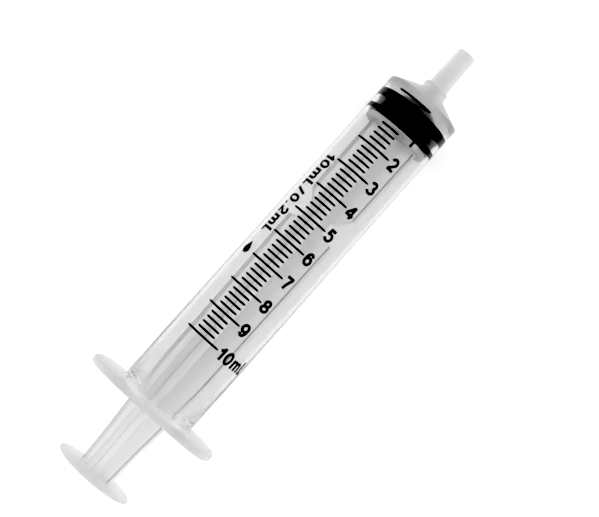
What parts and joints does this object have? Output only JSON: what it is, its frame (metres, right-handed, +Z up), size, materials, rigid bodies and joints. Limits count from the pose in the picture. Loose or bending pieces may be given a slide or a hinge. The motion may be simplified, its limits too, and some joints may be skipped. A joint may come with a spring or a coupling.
{
  "type": "oral syringe",
  "caption": "Clear plastic oral syringe with a sliding plunger rod, black rubber stopper, printed millilitre scale and slip tip.",
  "frame": {"origin": "centre of the bounding box in X and Y, lowest point of the finger flange in Z", "axes": "+X along the barrel towards the nozzle, +Y along the finger flange's long way, +Z up through its short way"},
  "size_m": [0.1076, 0.0292, 0.0188],
  "materials": {
    "clear_plastic": "clear gloss, faintly milky",
    "rod_plastic": "translucent satin",
    "black_rubber": "satin",
    "black_ink": "printed ink"
  },
  "bodies": {
    "barrel": {"barrel": "clear_plastic"},
    "stopper": {"stopper": "black_rubber"},
    "plunger": {"plunger_rod": "rod_plastic"}
  },
  "joints": [
    {"name": "plunger_slide", "type": "slide", "parent": "barrel", "child": "stopper", "axis": [1, 0, 0], "range_m": [-0.066, 0.00075]},
    {"name": "rod_twist", "type": "hinge", "parent": "stopper", "child": "plunger", "pos_m": [0.0358, 0, 0.0094], "axis": [1, 0, 0], "continuous": true}
  ]
}
